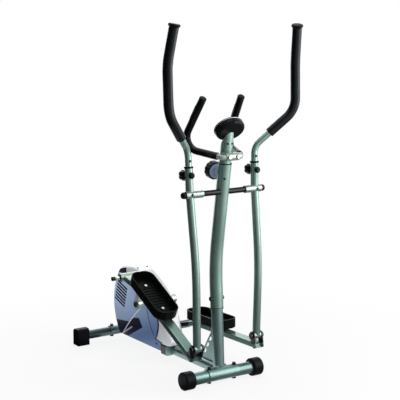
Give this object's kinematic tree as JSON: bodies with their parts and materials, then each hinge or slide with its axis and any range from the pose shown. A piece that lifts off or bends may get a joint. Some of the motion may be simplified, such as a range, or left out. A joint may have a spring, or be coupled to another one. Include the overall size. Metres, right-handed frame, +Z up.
{
  "type": "elliptical trainer",
  "caption": "Home elliptical cross trainer with swinging arm handles, foot bars with tray pedals, a crank in a rounded housing, a fixed handlebar, console and tension knob.",
  "frame": {"origin": "middle of the footprint's bounding box, on the floor", "axes": "+X the way the user faces, +Y to the user's left, +Z up"},
  "size_m": [0.9572, 0.632, 1.4544],
  "materials": {
    "silver_paint": "metallic silver-green paint",
    "bright_steel": "plated",
    "black_plastic": "satin, fine grain",
    "black_foam": "closed-cell foam",
    "black_gloss": "gloss",
    "white_pearl": "pearl",
    "blue_grey": "metallic",
    "belt_rubber": "ribbed",
    "iron": "turned",
    "lens": "clear"
  },
  "bodies": {
    "frame": {"base_frame": "silver_paint", "front_stabilizer": "silver_paint", "rear_stabilizer": "silver_paint", "front_caps": "black_plastic", "rear_caps": "black_plastic", "frame_bolts": "bright_steel", "upper_post": "silver_paint", "console_mast": "silver_paint", "pivot_axle": "bright_steel", "axle_sleeves": "black_gloss", "axle_caps": "black_plastic", "handlebar_tube": "black_gloss", "handlebar_foam": "black_foam", "handlebar_plugs": "black_plastic", "pulse_plates": "bright_steel", "handlebar_clamp": "silver_paint", "console_shell": "black_plastic", "console_face": "black_gloss", "console_lens": "lens", "tension_base": "black_plastic", "rail_collar": "black_plastic", "crank_bearings": "bright_steel", "drive_belt": "belt_rubber", "flywheel_axle": "bright_steel", "shell_right": "white_pearl", "shell_left": "white_pearl", "panel_right": "blue_grey", "panel_left": "blue_grey"},
    "button": {"console_button": "black_plastic"},
    "tension_dial": {"tension_knob": "black_plastic"},
    "brake": {"magnet_bracket": "bright_steel", "bracket_magnets": "iron"},
    "crankset": {"crank_axle": "bright_steel", "drive_pulley": "black_plastic", "crank_nuts": "bright_steel", "crank_arm_right": "bright_steel", "crank_arm_left": "bright_steel"},
    "wheel": {"flywheel": "iron"},
    "arm_right": {"lower_arm_right": "silver_paint", "arm_bushes_right": "black_plastic", "handle_tube_right": "silver_paint", "handle_grip_right": "black_foam", "handle_cap_right": "black_plastic", "arm_collar_right": "black_plastic", "arm_screws_right": "bright_steel"},
    "arm_clamp_right": {"arm_knob_right": "black_plastic"},
    "foot_right": {"foot_bar_right": "silver_paint", "pedal_right": "black_plastic", "foot_pins_right": "bright_steel"},
    "arm_left": {"lower_arm_left": "silver_paint", "arm_bushes_left": "black_plastic", "handle_tube_left": "silver_paint", "handle_grip_left": "black_foam", "handle_cap_left": "black_plastic", "arm_collar_left": "black_plastic", "arm_screws_left": "bright_steel"},
    "arm_clamp_left": {"arm_knob_left": "black_plastic"},
    "foot_left": {"foot_bar_left": "silver_paint", "pedal_left": "black_plastic", "foot_pins_left": "bright_steel"}
  },
  "joints": [
    {"name": "crank_spin", "type": "hinge", "parent": "frame", "child": "crankset", "pos_m": [-0.1683, 0, 0.2315], "axis": [0, 1, 0], "continuous": true},
    {"name": "flywheel_spin", "type": "hinge", "parent": "frame", "child": "wheel", "pos_m": [-0.3153, 0, 0.197], "axis": [0, 1, 0], "continuous": true},
    {"name": "tension_turn", "type": "hinge", "parent": "frame", "child": "tension_dial", "pos_m": [0.29464, 0, 0.86679], "axis": [-0.988, 0, 0.1543], "range_deg": [0, 270]},
    {"name": "brake_lift", "type": "hinge", "parent": "frame", "child": "brake", "pos_m": [-0.24065, 0, 0.30768], "axis": [0, 1, 0], "range_deg": [0, 6.2]},
    {"name": "button_press", "type": "slide", "parent": "frame", "child": "button", "axis": [0.766, 0, -0.6428], "range_m": [0, 0.002], "stiffness_N_per_m": 600, "springref_m": -0.0005},
    {"name": "arm_right_swing", "type": "hinge", "parent": "frame", "child": "arm_right", "pos_m": [0.3497, -0.158, 0.79], "axis": [0, 1, 0], "range_deg": [-10, 13]},
    {"name": "foot_right_pivot", "type": "hinge", "parent": "arm_right", "child": "foot_right", "pos_m": [0.39371, -0.158, 0.17958], "axis": [0, 1, 0], "range_deg": [-13.2, 10.2]},
    {"name": "arm_clamp_right_turn", "type": "hinge", "parent": "arm_right", "child": "arm_clamp_right", "pos_m": [0.33825, -0.158, 0.86537], "axis": [0.9974, 0, 0.0719], "range_deg": [0, 360]},
    {"name": "arm_left_swing", "type": "hinge", "parent": "frame", "child": "arm_left", "pos_m": [0.3497, 0.158, 0.79], "axis": [0, 1, 0], "range_deg": [-13.2, 10.2]},
    {"name": "foot_left_pivot", "type": "hinge", "parent": "arm_left", "child": "foot_left", "pos_m": [0.36358, 0.158, 0.17816], "axis": [0, 1, 0], "range_deg": [-10.2, 13.2]},
    {"name": "arm_clamp_left_turn", "type": "hinge", "parent": "arm_left", "child": "arm_clamp_left", "pos_m": [0.34198, 0.158, 0.86584], "axis": [0.9997, 0, 0.0227], "range_deg": [0, 360]}
  ],
  "couplings": [
    {"joint": "flywheel_spin", "follows": "crank_spin", "ratio": 4},
    {"joint": "brake_lift", "follows": "tension_turn", "ratio": 0.022222},
    {"joint": "arm_left_swing", "follows": "arm_right_swing", "ratio": -1},
    {"joint": "foot_right_pivot", "follows": "arm_right_swing", "ratio": -1},
    {"joint": "foot_left_pivot", "follows": "arm_right_swing", "ratio": 1}
  ]
}
